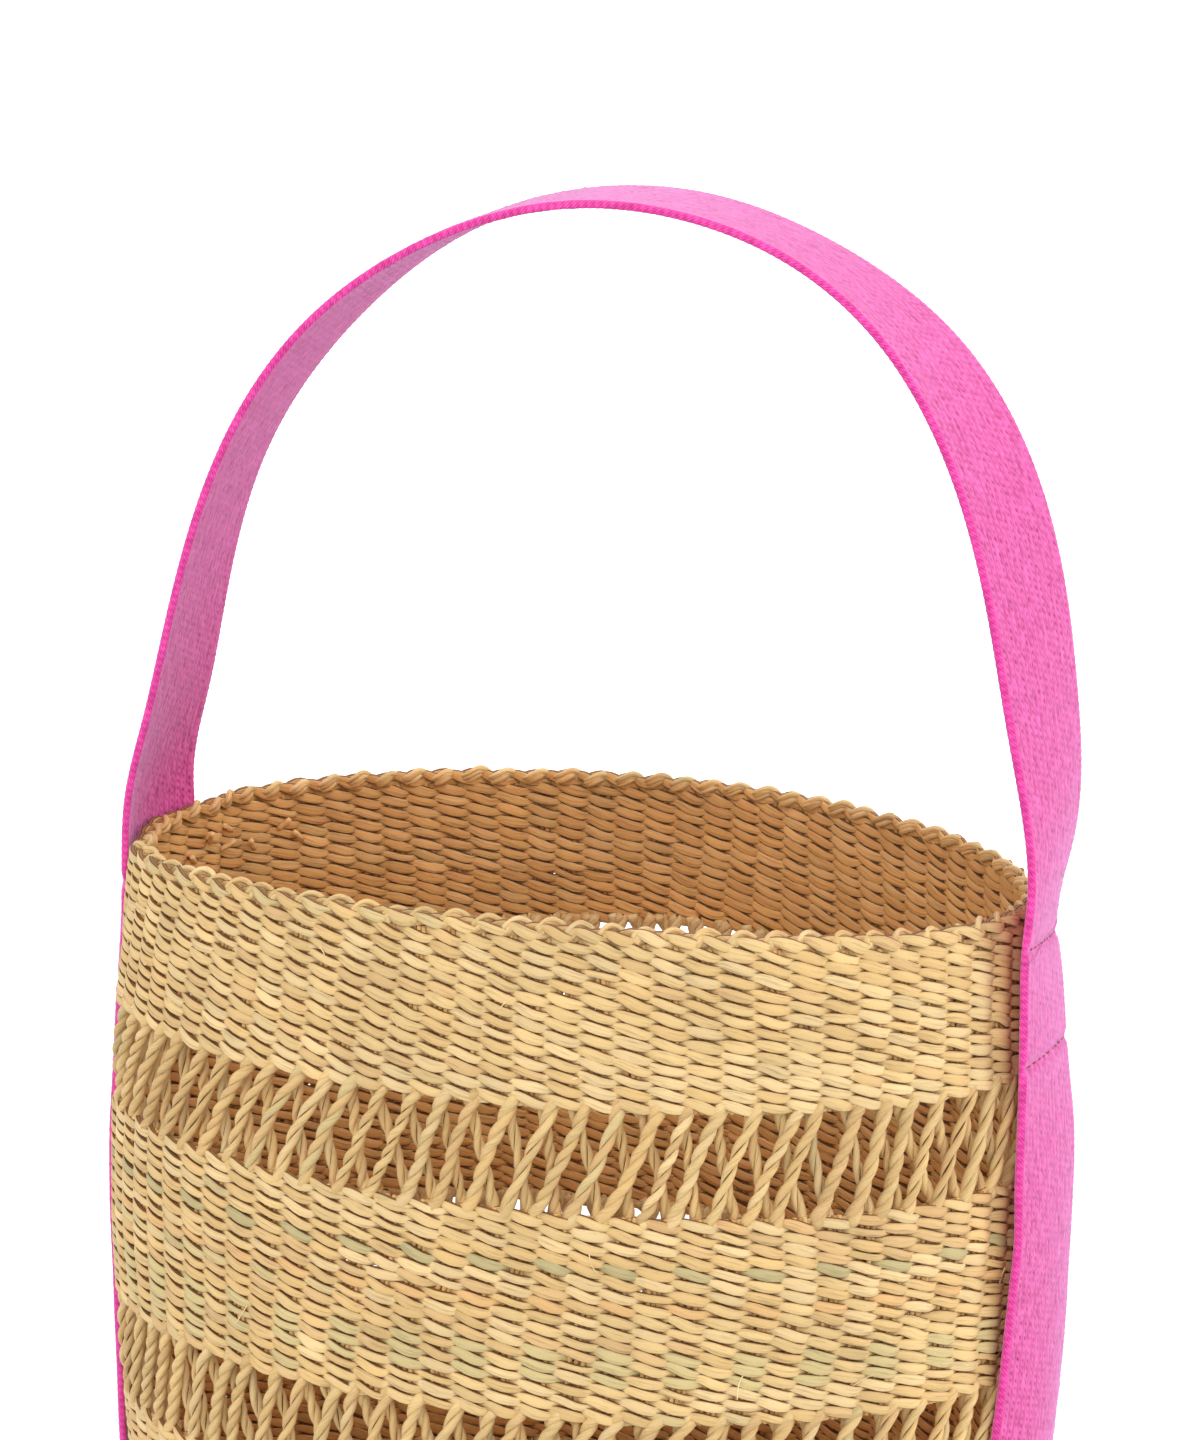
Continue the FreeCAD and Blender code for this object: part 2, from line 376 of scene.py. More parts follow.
twine = {
    "segments": 6,
    "reach": 1.08 * mm,
    "outside": 1.0 * mm,
    "drop": 1.0 * mm,
    "straighten": 0.7,
    "bulge": 0.9,
    "tallAtStitch": 1.66 * mm,
    "tallAtCrossing": 1.2 * mm,
    "tallPower": 0.9,
    "deepAtStitch": 0.86 * mm,
    "deepAtCrossing": 0.8 * mm,
    "sizeSpread": 0.08,
    "thinShare": 0.07,
    "thinness": 3,
    "slipSpread": 0.16 * mm,
    "slantSpread": 0.25,
    "rowWave": 0.42 * mm,
    "waves": (2, 5, 9),
    "waveShift": 0.5,
    "rowRipple": 0.13 * mm,
    "ripples": (7, 13, 19),
    "palette": "plain",
    "accents": {},
    "accentColumns": (43, 77),
}


def twineRows(name, levels, columns, seed, settings=None, shift=0.0):
    # a row is two strands that wind round each other half a turn for each column: both follow
    # outward = reach x cosine and upward = - drop x sine of the same angle, half a turn apart, with
    # the sine drawn out towards straight lines so that the stitches slant evenly
    style = {**twine, **(settings or {})}
    dice = np.random.default_rng(seed)
    rows, segments = len(levels), style["segments"]
    place = np.arange(columns * segments) / segments
    turn = np.pi * (place + np.array([[0.0], [1.0]]))[None]
    size, slip, slant = (spread(dice.normal(size=(rows, 2, columns)), segments) for _ in range(3))
    thin = (dice.random((rows, 2, columns)) < style["thinShare"]).astype(float)
    size = size - style["thinness"] * spread(thin, segments)
    front = np.abs(np.cos(turn))
    side = np.sign(np.cos(turn))
    out = style["reach"] * side * front ** style["bulge"]
    slope = np.arcsin(style["straighten"] * np.sin(turn)) / np.arcsin(style["straighten"])
    rise = -style["drop"] * slope * (1 + style["slantSpread"] * slant) + style["slipSpread"] * slip * front
    swell = (style["tallAtStitch"] - style["tallAtCrossing"]) * front ** style["tallPower"]
    tall = (style["tallAtCrossing"] + swell) * (1 + style["sizeSpread"] * size)
    deep = style["deepAtCrossing"] + (style["deepAtStitch"] - style["deepAtCrossing"]) * front
    across = (place + shift) * wall["columns"] / columns
    ovalTurn = 2 * np.pi * across / wall["columns"]
    later = style["waveShift"] * np.arange(rows)[:, None]
    wave = sum(np.sin(k * ovalTurn + dice.uniform(0, 6.3) + later) / k for k in style["waves"])
    wave = wave * style["rowWave"]
    ripple = sum(np.sin(k * ovalTurn + dice.uniform(0, 6.3, (rows, 1))) for k in style["ripples"])
    level = (np.asarray(levels)[:, None] + wave + ripple * style["rowRipple"])[:, None]
    middle, outward, upward = wovenSurface(across[None, None], np.broadcast_to(level, rise.shape))
    centre = middle + outward * (out + style["outside"])[..., None] + upward * rise[..., None]
    stitch = np.round(place).astype(int) % columns
    colours = strandColours(dice, (rows, 2, columns), style["palette"])
    for row, accent in style["accents"].items():
        colours[row, 0, slice(*style["accentColumns"])] = np.array(grass[accent])
    colours = colours[:, :, stitch]
    flat = (rows * 2, len(place))
    return tubes(name, centre.reshape(*flat, 3), outward.reshape(*flat, 3), "ribbon",
                 colours.reshape(*flat, 3), np.broadcast_to(deep, rise.shape).reshape(flat),
                 tall.reshape(flat))


def rowLevels(low, high):
    # rows that fill a band of wall, each in the middle of its share of the height
    count = round((high - low) / wall["rowPitch"])
    return low + (np.arange(count) + 0.5) * (high - low) / count


stakes = {
    "stems": 3,
    "spacing": 1.45 * mm,
    "radius": 0.72 * mm,
    "step": 4 * mm,
    "wander": 0.25 * mm,
    "shade": paint(226, 180, 116),
    "unevenness": 0.12,
    "belowRim": 4 * mm,
}


def stakeStems(name, low, high, columns, seed):
    # each column holds a few thin stems side by side up the middle of the wall
    dice = np.random.default_rng(seed)
    count = columns * stakes["stems"]
    steps = max(4, round((high - low) / stakes["step"]))
    share = np.linspace(0, 1, steps)
    column = np.repeat(np.arange(columns), stakes["stems"]) * wall["columns"] / columns
    beside = np.tile(np.arange(stakes["stems"]) - (stakes["stems"] - 1) / 2, columns)
    column = column + beside * stakes["spacing"] / columnPitch
    wander = dice.normal(size=(count, steps)) * stakes["wander"]
    middle, outward, _ = wovenSurface(column[:, None] + wander / columnPitch, low + share * (high - low))
    centre = middle + outward * (wander[..., None] + twine["outside"])
    bright = 1 + stakes["unevenness"] * dice.normal(size=(count, 1, 1))
    return tubes(name, centre, outward, "round", np.array(stakes["shade"]) * bright, stakes["radius"])


rope = {
    "steps": 27,
    "tuck": 2.6 * mm,
    "tuckPower": 0.35,
    "outer": {"ply": 1.06 * mm, "wind": 0.84 * mm, "foot": 0.23, "head": 1.65, "out": 1.5 * mm},
    "inner": {"ply": 0.94 * mm, "wind": 0.74 * mm, "foot": 1.10, "head": 0.22, "out": -1.7 * mm},
    "turns": (1.9, 3.7),
    "leanSpread": 0.12,
    "splay": 0.5,
    "splayShare": 0.13,
    "plySpread": 0.08,
    "plyOut": 0.95,
    "plySide": 1.08,
}


def ropes(name, low, high, layer, seed):
    # each rope is two plies that wind round a straight line from foot to head. Their girth grows towards
    # both ends as a bell curve of the distance from the end
    style = rope[layer]
    dice = np.random.default_rng(seed)
    count, steps = wall["columns"], rope["steps"]
    share = np.linspace(0, 1, steps)
    foot = np.arange(count) + style["foot"] + dice.normal(size=count) * rope["leanSpread"]
    head = np.arange(count) + style["head"] + dice.normal(size=count) * rope["leanSpread"]
    column = foot[:, None] + (head - foot)[:, None] * share
    level = low - rope["tuck"] + share * (high - low + 2 * rope["tuck"])
    middle, outward, _ = wovenSurface(column, level)
    tucked = np.sin(np.pi * share) ** rope["tuckPower"]
    spine = middle + outward * (style["out"] * tucked)[:, None]
    ahead = unit(np.gradient(spine, axis=1))
    side = np.cross(ahead, outward)
    turns = dice.uniform(*rope["turns"], size=count)
    start = dice.uniform(0, 2 * np.pi, size=count)
    ply = np.arange(2)[None, :, None] * np.pi
    turn = start[:, None, None] + ply + 2 * np.pi * turns[:, None, None] * share
    sine, cosine = np.sin(turn)[..., None], np.cos(turn)[..., None]
    wind = style["wind"] * (side[:, None] * sine + outward[:, None] * cosine)
    centre = (spine[:, None] + wind).reshape(count * 2, steps, 3)
    hint = unit(wind).reshape(count * 2, steps, 3)
    girth = style["ply"] * (1 + rope["plySpread"] * dice.normal(size=(count * 2, 1)))
    fromEnd = np.minimum(share, 1 - share)
    girth = girth * (1 + rope["splay"] * np.exp(-(fromEnd / rope["splayShare"]) ** 2))
    colours = strandColours(dice, (count, 2, 1)).reshape(count * 2, 1, 3)
    return tubes(name, centre, hint, "ply", colours, girth * rope["plyOut"], girth * rope["plySide"])


rim = {
    "rowHeight": 3.4 * mm,
    "row": {"drop": 1.15 * mm, "tallAtStitch": 1.65 * mm, "tallAtCrossing": 1.05 * mm, "reach": 1.5 * mm,
            "palette": "even", "rowWave": 0.15 * mm, "rowRipple": 0.08 * mm},
    "rowShift": 0.45,
    "edgeAbove": 0.8 * mm,
    "bendShift": 1.95,
    "path": [(-0.36, -3.2, -0.8), (-0.54, -2.4, -1.5), (-0.74, -1.5, -1.3), (-0.91, -0.95, -0.2),
             (-1.04, -1.5, 0.9), (-1.17, -3.0, 1.6)],
    "stems": 3,
    "stem": 0.9 * mm,
    "tip": 0.25,
    "taper": 4,
    "taperPower": 0.6,
    "beside": 0.85,
    "shakeTogether": (0.4, 0.25, 0.15),
    "shakeEach": 0.15,
    "meeting": 0.88,
    "innerShadeOver": 1.5,
    "steps": 18,
}


def rimBorder(name, seed):
    # each column's stems lean over to the next column on the inner side, bend over the edge and tuck
    # in under the top row: a smooth curve through points given as columns along, mm up and mm out
    dice = np.random.default_rng(seed)
    count, steps, stems = wall["columns"], rim["steps"], rim["stems"]
    path = np.array(rim["path"]) * (columnPitch / mm, 1, 1)
    at = np.concatenate([[0], np.cumsum(np.linalg.norm(np.diff(path, axis=0), axis=1))])
    route = spline(at, path, np.linspace(0, at[-1], steps))
    ahead = unit(np.gradient(route[:, :2], axis=0))
    beside = np.tile(np.arange(stems) - 1, count)[:, None] * rim["beside"]
    shake = np.repeat(dice.normal(size=(count, 3)), stems, axis=0) * rim["shakeTogether"] \
        + dice.normal(size=(count * stems, 3)) * rim["shakeEach"]
    along = route[:, 0] - ahead[:, 1] * beside + shake[:, :1]
    level = route[:, 1] + ahead[:, 0] * beside + shake[:, 1:2]
    column = np.repeat(np.arange(count), stems)[:, None] + rim["bendShift"] + along * mm / columnPitch
    middle, outward, _ = wovenSurface(column, rimTop + level * mm)
    centre = middle + outward * ((route[:, 2] + shake[:, 2:]) * mm)[..., None]
    colours = strandColours(dice, (count * stems, 1, 1)).reshape(count * stems, 1, 3)
    full = np.clip(np.linspace(0, rim["taper"], steps), 0, 1) ** rim["taperPower"]
    girth = rim["stem"] * (rim["tip"] + (1 - rim["tip"]) * full)
    # painted shade: each stem takes the inner shade more as it goes inside the rim
    return tubes(name, centre, outward, "round", colours, girth, None, rim["meeting"],
                 np.clip(-route[:, 2] / rim["innerShadeOver"], 0, 1))


fray = {
    "count": 46,
    "length": (2.5 * mm, 6 * mm),
    "radius": 0.17 * mm,
    "steps": 8,
    "bend": 0.5,
    "lift": (0.1, 0.5),
    "standOff": 2.4 * mm,
    "belowRim": 5 * mm,
    "shade": paint(246, 222, 172),
    "stubs": [(33.2, 266, -0.5), (34.1, 261, 0.4), (34.9, 268, 0.9), (35.6, 263, -0.8), (36.4, 267, 0.3),
              (37.1, 262, 0.8), (32.4, 262, 0.6)],
    "stubLength": 5 * mm,
    "stubRadius": 0.8 * mm,
    "stubSunk": 0.8 * mm,
    "stubRise": 0.6,
    "stubInwards": 0.5,
    "stubMeeting": 0.7,
}


def looseEnds(name, bands, seed):
    # thin fibres that stand off the outside of the walls: each leaves along a random direction on the
    # surface and lifts away from it as the square of the distance
    dice = np.random.default_rng(seed)
    count = fray["count"]
    low, high = np.array(bands)[dice.integers(0, len(bands), count)].T
    column = dice.uniform(0, wall["columns"], count)
    middle, outward, upward = wovenSurface(column, dice.uniform(low, high))
    along = np.cross(upward, outward)
    turn = dice.uniform(0, 2 * np.pi, (count, 1))
    ahead = along * np.cos(turn) + upward * np.sin(turn)
    bend = np.cross(ahead, outward) * dice.normal(size=(count, 1)) * fray["bend"]
    share = np.linspace(0, 1, fray["steps"])[None, :, None]
    length = dice.uniform(*fray["length"], (count, 1, 1))
    lift = dice.uniform(*fray["lift"], (count, 1, 1))
    centre = (middle + outward * fray["standOff"])[:, None] + ahead[:, None] * length * share \
        + bend[:, None] * length * share ** 2 + outward[:, None] * length * lift * share ** 2
    return tubes(name, centre, outward[:, None], "round", np.array(fray["shade"]), fray["radius"])


def cutStubs(name):
    # short cut ends of stems on the inside near one end: straight, leaning inwards and sideways
    column, level, slant = np.array(fray["stubs"]).T
    middle, outward, upward = wovenSurface(column, level * mm)
    along = np.cross(upward, outward)
    ahead = unit(along * slant[:, None] + upward * fray["stubRise"] - outward * fray["stubInwards"])
    share = np.linspace(0, 1, 5)[None, :, None]
    centre = (middle - outward * fray["stubSunk"])[:, None] + ahead[:, None] * fray["stubLength"] * share
    # painted shade: the stubs stand inside the basket, so their colour takes the inner shade
    colour = np.array(fray["shade"]) * np.array(grass["innerShade"])
    return tubes(name, centre, outward[:, None], "round", colour, fray["stubRadius"], None,
                 fray["stubMeeting"], 0)


# the strap's own line, in mm and degrees. A free point is x and height of its middle, how far it is
# turned about the upright and tipped, and how far its edges curl inwards. A sewn point is a height, the
# turn, the curl and how far the strap stands off the wall
strap = {
    "free": [
        (136.4, 288, 3.5, 3, 1), (133.2, 330, -5.5, 2, 0.5), (122.8, 380, -8, 0, 0),
        (98, 425.5, -4, -3, -0.5), (58.5, 453, 3, -4, 0), (17, 461.3, 0, -3, 0), (-26, 453, 2, -1, 0),
        (-68.4, 425.3, 1, -1, 0), (-99.6, 381, 5, 0, 0), (-115.8, 331, 4, 0, 1), (-120.9, 312, 3, 0, 1.5),
        (-128.0, 289, 2, 0, 3),
    ],
    "rightSewn": [(20, 0, 0, 0), (60, -3, 3, 0.6), (110, -6.3, 4.5, 1.8), (150, -4.5, 3, 1.9),
                  (190, -1.8, 1.5, 1.6), (207, -2.2, 1.3, 1.2), (219, -0.5, 1.1, 0.7), (228, 1.5, 1, 0.2),
                  (252, 4, 1, 0), (268, 6.5, 1, 0)],
    "leftSewn": [(20, 0, 0, 0), (60, 0, 3, 0), (110, 0, 4.7, 0), (190, 0, 5.2, 0), (210, 0, 6, 0),
                 (252, 0, 6.2, 0), (268, 0, 4.8, 0)],
    "sewnTop": 268,
    "pieceStart": 100.0,
    "flatSteps": 8,
    "bendSteps": 7,
    "wallSteps": 24,
    "clearance": 0.3 * mm,
    "thickShare": 0.86,
    "warp": 2.8 * mm,
    "weft": 2.1 * mm,
    "relief": 0.25 * mm,
    "sunk": -0.8,
    "flank": 0.5,
    "between": -0.15,
    "uneven": 0.3,
    "bead": 0.18 * mm,
    "beadOut": 0.7,
    "edge": 1.1 * mm,
    "trimFrom": 0.3 * mm,
    "trimOver": 1 * mm,
    "plainPoints": 9,
    "crease": 0.8 * mm,
    "creaseHalf": 1.5 * mm,
    "seamTilt": {"upper": -0.15, "lower": -0.08},
}
strapLow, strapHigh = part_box("base_webbing")
strapWidth = strapHigh.y - strapLow.y
strapThick = strapHigh.z - strapLow.z


def strapHalf(side, sewn):
    # middle of the strap from under the base up one end of the oval: flat, quarter round, wall
    end = np.polyval(lengthCurve, heelTop) - heelRadius
    radius = heelRadius + strap["clearance"] + strapThick / 2
    across = np.linspace(0, end, strap["flatSteps"])[:-1]
    turn = np.linspace(0, np.pi / 2, strap["bendSteps"])
    height = np.linspace(heelTop, strap["sewnTop"] * mm, strap["wallSteps"])[1:]
    x = np.concatenate([across, end + radius * np.sin(turn),
                        np.polyval(lengthCurve, height) + strap["clearance"] + strapThick / 2])
    z = np.concatenate([0 * across + strapThick / 2, heelTop - radius * np.cos(turn), height])
    given = np.array(sewn, float)
    yaw, curl, away = (np.interp(z / mm, given[:, 0], given[:, k]) for k in (1, 2, 3))
    x = x + away * mm - pressedAt(z) * (side < 0) + (1 - strap["thickShare"]) * strapThick / 2
    return np.stack([(side * x + leanAt(z)) / mm, z / mm, yaw, 0 * z, curl], 1)


def strapLine():
    # one closed walk: up the right end, over the top and down the left end
    right = strapHalf(1, strap["rightSewn"])
    left = strapHalf(-1, strap["leftSewn"])[::-1]
    knots = np.concatenate([right, np.array(strap["free"], float), left])
    at = np.concatenate([[0], np.cumsum(np.linalg.norm(np.diff(knots[:, :2], axis=0), axis=1))])
    return at, knots


strapAt, strapKnots = strapLine()
middleKnot = len(strapKnots) // 2
strapSides = {"right": slice(0, middleKnot), "left": slice(None, middleKnot, -1)}


def distanceAt(side, height):
    # distance along the strap at which one side of it passes a height in mm
    part = strapSides[side]
    return np.interp(height, strapKnots[part, 1], strapAt[part])


def seamDistance(node):
    # distance along the strap of a sewn line, from the height of its node
    low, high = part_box(node)
    return distanceAt(node.split("_")[0], (low.z + high.z) / 2 / mm)


seams = {node: seamDistance(node) for node in (side + "_" + place + "_stitches"
                                               for side in ("right", "left") for place in ("upper", "lower"))}


def seamTilt(node):
    return strap["seamTilt"][node.split("_")[1]]


def strapFrame(distance):
    # middle line, width direction and outward face of the strap at distances along it
    before, found, after = (spline(strapAt, strapKnots, distance + step) for step in (-0.5, 0, 0.5))
    fore = after - before
    centre = np.stack([found[:, 0], 0 * distance, found[:, 1]], 1) * mm
    ahead = unit(np.stack([fore[:, 0], 0 * distance, fore[:, 1]], 1))
    yaw, tip = np.radians(found[:, 2]), np.radians(found[:, 3])
    width = np.stack([-np.sin(yaw) * np.cos(tip), np.cos(yaw) * np.cos(tip), np.sin(tip)], 1)
    width = unit(width - ahead * (width * ahead).sum(1, keepdims=True))
    outward = np.cross(width, ahead)
    return centre, width, outward, found[:, 4] * mm


def strapPiece(name, start, finish, innerDetail=True):
    # cross-section: a flat face of warp yarns outside and inside, joined by rounded edges; a yarn
    # stands proud on every other weft and sinks on the next, and its neighbour does the opposite. The
    # outer face dips along each sewn line as a bell curve of the distance from it
    weft = strap["weft"] / mm / 2
    rings = max(4, round((finish - start) / weft))
    distance = np.linspace(start, finish, rings + 1)
    number = np.round(distance / weft).astype(int)
    centre, width, outward, curl = strapFrame(distance)
    flat = strapWidth / 2 - strap["edge"]
    yarns = round(2 * flat / strap["warp"])
    place = np.linspace(-flat, flat, 4 * yarns + 1)
    step = np.arange(4 * yarns + 1)
    crossing = np.cos(np.pi * (number[:, None] + step // 4))
    over = np.choose(step % 4, [strap["between"], strap["flank"], 0, strap["flank"]])
    over = np.where(step % 4 == 2, np.where(crossing > 0, 1, strap["sunk"]), over)
    over = over + strap["uneven"] * np.random.default_rng(50 + round(start)).normal(size=over.shape)
    over[:, [0, -1]] = 0
    face = strap["thickShare"] * strapThick / 2
    half = face - strap["relief"]
    turn = np.linspace(0, np.pi, 7)[1:-1]
    bead = np.cos(np.pi * number)[:, None] * np.sin(turn)
    edgeOut = (face + strap["beadOut"] * strap["bead"] * bead) * np.cos(turn)
    edgeSide = flat + (strap["edge"] + strap["bead"] * bead) * np.sin(turn)
    if innerDetail:
        inner, innerPlace = over, place
    else:
        inner = np.zeros((rings + 1, strap["plainPoints"]))
        innerPlace = np.linspace(-flat, flat, strap["plainPoints"])
    across = np.concatenate([np.broadcast_to(place, over.shape), edgeSide,
                             np.broadcast_to(innerPlace[::-1], inner.shape), -edgeSide], 1)
    offset = np.concatenate([half + strap["relief"] * over, edgeOut,
                             -half - strap["relief"] * inner[:, ::-1], -edgeOut], 1)
    for node, seam in seams.items():
        away = distance[:, None] * mm - (seam * mm + seamTilt(node) * across)
        offset = offset - strap["crease"] * np.exp(-(away / strap["creaseHalf"]) ** 2) * (offset > 0)
    offset = offset - curl[:, None] * (across / (strapWidth / 2)) ** 2
    # depth is how far each point is sunk, which the webbing material turns into painted shade
    depth = np.concatenate([over, bead, inner[:, ::-1], bead], 1)
    edge = np.clip((np.abs(across) - flat + strap["trimFrom"]) / strap["trimOver"], 0, 1)
    points = centre[:, None] + width[:, None] * across[..., None] + outward[:, None] * offset[..., None]
    around = points.shape[1]
    index = np.arange((rings + 1) * around).reshape(rings + 1, around)
    here, after = index[:-1], index[1:]
    quads = np.stack([here, after, np.roll(after, -1, 1), np.roll(here, -1, 1)], -1)[..., ::-1]
    walked = np.broadcast_to(distance[:, None] * mm, index.shape)
    girth = np.concatenate([[0.0], np.cumsum(np.linalg.norm(np.diff(points[0], axis=0), axis=1))])
    near = np.broadcast_to(girth, here.shape)
    far = np.broadcast_to(np.append(girth[1:], girth[-1] + mm), here.shape)
    low, high = walked[:-1], walked[1:]
    caps = [index[:1, :], index[-1:, ::-1]]
    uvs = np.concatenate([corners((low, far), (high, far), (high, near), (low, near)),
                          np.zeros((2 * around, 2))])
    return makeObject(name, points.reshape(-1, 3), [quads.reshape(-1, 4)] + caps, None, uvs,
                      {"depth": depth, "edge": edge})


def wire(tree, name, inputs=None, **values):
    # a shader node with its settings. Each input is a number or colour, or the output of another node
    made = tree.nodes.new("ShaderNode" + name)
    for key, value in values.items():
        setattr(made, key, value)
    for socket, value in (inputs or {}).items():
        if isinstance(value, bpy.types.NodeSocket):
            tree.links.new(value, made.inputs[socket])
        else:
            made.inputs[socket].default_value = value
    return made


def attribute(tree, name, output="Fac"):
    return wire(tree, "Attribute", attribute_name=name).outputs[output]


def worked(tree, operation, *numbers):
    return wire(tree, "Math", dict(enumerate(numbers)), operation=operation).outputs[0]


def ranged(tree, value, low, high, toLow=0.0, toHigh=1.0, **values):
    # a number carried from one range to another
    ends = {"Value": value, "From Min": low, "From Max": high, "To Min": toLow, "To Max": toHigh}
    return wire(tree, "MapRange", ends, **values).outputs["Result"]


def mixed(tree, share, low, high, **values):
    low, high = (part if isinstance(part, bpy.types.NodeSocket) else (*part, 1) for part in (low, high))
    return wire(tree, "Mix", {0: share, 6: low, 7: high}, data_type="RGBA", **values).outputs[2]


def scaled(tree, colour, brightness):
    return wire(tree, "VectorMath", {0: colour, "Scale": brightness}, operation="SCALE").outputs["Vector"]


def fibres(tree, finish):
    # noise stretched along the strand by its own uv, with the bump that it makes
    uv = wire(tree, "UVMap", uv_map="strand").outputs["UV"]
    stretched = wire(tree, "Mapping", {"Vector": uv, "Scale": finish["fibreScale"]}).outputs["Vector"]
    fibre = wire(tree, "TexNoise", {"Vector": stretched, "Scale": 1, "Detail": finish["fibreDetail"],
                                    "Roughness": finish["fibreRoughness"]}).outputs["Fac"]
    bump = wire(tree, "Bump", {"Strength": finish["bump"], "Distance": finish["bumpHeight"], "Height": fibre})
    return uv, fibre, bump.outputs["Normal"]


def emptyTree(owner):
    owner.use_nodes = True
    owner.node_tree.nodes.clear()
    return owner.node_tree


def newMaterial(name):
    material = bpy.data.materials.new(name)
    return material, emptyTree(material)


def surface(tree, shader, inputs, output="OutputMaterial"):
    wire(tree, output, {"Surface": wire(tree, shader, inputs).outputs[0]})


grassFinish = {
    "shader": {"Roughness": 0.58, "Specular IOR Level": 0.35},
    "fibreScale": (90, 2900, 1),
    "fibreDetail": 3,
    "fibreRoughness": 0.6,
    "fibreRange": (0.28, 0.48, 0.66, 1.02),
    "patchScale": 45,
    "patchRange": (0.3, 0.7, 0.93, 1.05),
    "bump": 0.9,
    "bumpHeight": 0.4 * mm,
}


def grassMaterial():
    # the strand's own colour, streaked by fibres that run along it and patched a little in the large.
    # Painted shade darkens it to brown where strands meet, and along the four long corners of a ribbon,
    # whose belt number counts the points of its section: the corners are at 1, 2, 5 and 6
    finish = grassFinish
    material, tree = newMaterial("driedGrass")
    _, fibre, normal = fibres(tree, finish)
    streak = ranged(tree, fibre, *finish["fibreRange"])
    place = wire(tree, "TexCoord").outputs["Object"]
    patch = wire(tree, "TexNoise", {"Vector": place, "Scale": finish["patchScale"]}).outputs["Fac"]
    brightness = worked(tree, "MULTIPLY", streak, ranged(tree, patch, *finish["patchRange"]))
    shade = scaled(tree, attribute(tree, "straw", "Color"), brightness)
    smooth = {"interpolation_type": "SMOOTHSTEP"}
    meeting = ranged(tree, attribute(tree, "contact"), *grass["contactShadeRange"], **smooth)
    belt = attribute(tree, "belt")
    for operation, number in (("MODULO", 4), ("SUBTRACT", 1.5), ("ABSOLUTE", 0), ("SUBTRACT", 0.5),
                              ("ABSOLUTE", 0)):
        belt = worked(tree, operation, belt, number)
    corner = ranged(tree, belt, *grass["beltShadeRange"], **smooth)
    shadeShare = worked(tree, "MAXIMUM", meeting, corner)
    colour = mixed(tree, shadeShare, shade, grass["contactShade"], blend_type="MULTIPLY")
    surface(tree, "BsdfPrincipled", {**finish["shader"], "Base Color": colour, "Normal": normal})
    return material


webbingFinish = {
    "yarn": paint(228, 98, 172),
    # painted shade: gap is the deeper pink of the sunk places between floats; the two bead colours are the
    # selvage's bead pattern, whose darker one also falls in sunk places as painted shade
    "gap": paint(188, 26, 104),
    "bead": paint(246, 98, 188),
    "beadGap": paint(222, 50, 142),
    "shader": {"Roughness": 0.8, "Specular IOR Level": 0.12, "Sheen Weight": 0.75,
               "Sheen Tint": (*paint(240, 214, 255), 1), "Sheen Roughness": 0.4},
    "ragged": 1.5,
    "raggedMiddle": 0.45,
    "bodyRange": (-0.8, 0.7),
    "trimRange": (-1.2, 1.6),
    "beadPitch": 1.15 * mm,
    "beadSlant": 1.3,
    "fibreScale": (190, 620, 1),
    "fibreDetail": 2,
    "fibreRoughness": 0.5,
    "fibreRange": (0.3, 0.7, 0.80, 1.08),
    "bump": 0.5,
    "bumpHeight": 0.2 * mm,
}


def webbingMaterial():
    # pink yarn with fine fibres, stronger along the two selvages. Painted shade makes it a deeper pink in
    # the sunk gaps between floats; along the selvages the darker pink of a slanted bead pattern also
    # falls in sunk places, partly pattern and partly painted shade
    finish = webbingFinish
    material, tree = newMaterial("pinkWebbing")
    uv, fibre, normal = fibres(tree, finish)
    ragged = worked(tree, "MULTIPLY_ADD", fibre, finish["ragged"], attribute(tree, "depth"))
    centred = worked(tree, "SUBTRACT", ragged, finish["ragged"] * finish["raggedMiddle"])
    turns = 2 * math.pi / finish["beadPitch"]
    slant = wire(tree, "VectorMath", {0: uv, 1: (turns, turns * finish["beadSlant"], 0)},
                 operation="DOT_PRODUCT").outputs["Value"]
    uneven = worked(tree, "ADD", worked(tree, "SINE", slant), centred)
    body = mixed(tree, ranged(tree, centred, *finish["bodyRange"]), finish["gap"], finish["yarn"])
    trim = mixed(tree, ranged(tree, uneven, *finish["trimRange"]), finish["beadGap"], finish["bead"])
    whole = mixed(tree, attribute(tree, "edge"), body, trim)
    streak = ranged(tree, fibre, *finish["fibreRange"])
    colour = scaled(tree, whole, streak)
    surface(tree, "BsdfPrincipled", {**finish["shader"], "Base Color": colour, "Normal": normal})
    return material


thread = {
    "dashes": 9,
    "right": (-18 * mm, 18 * mm),
    "left": (-12 * mm, 18 * mm),
    "dash": 3.5 * mm,
    "points": 7,
    "thick": 0.24 * mm,
    "proud": -0.05 * mm,
    "bow": 1.1 * mm,
    "shader": {"Base Color": (*paint(126, 66, 50), 1), "Roughness": 0.7},
}


def threadMaterial():
    material, tree = newMaterial("brownThread")
    surface(tree, "BsdfPrincipled", thread["shader"])
    return material


def threadLine(name, node):
    # a row of dashes across the strap on the node's sewn line, each bowing out of the cloth and back in
    along = np.linspace(-1, 1, thread["points"])
    middle = np.linspace(*thread[node.split("_")[0]], thread["dashes"])
    across = (middle[:, None] + along * thread["dash"] / 2).ravel()
    centre, width, outward, curl = strapFrame(seams[node] + seamTilt(node) * across / mm)
    bow = thread["proud"] - thread["bow"] * np.tile(along, len(middle)) ** 4 - strap["crease"]
    offset = strap["thickShare"] * strapThick / 2 - curl * (across / (strapWidth / 2)) ** 2 + bow
    points = (centre + width * across[:, None] + outward * offset[:, None]).reshape(len(middle), -1, 3)
    return tubes(name, points, outward.reshape(points.shape), "round", (1, 1, 1), thread["thick"])


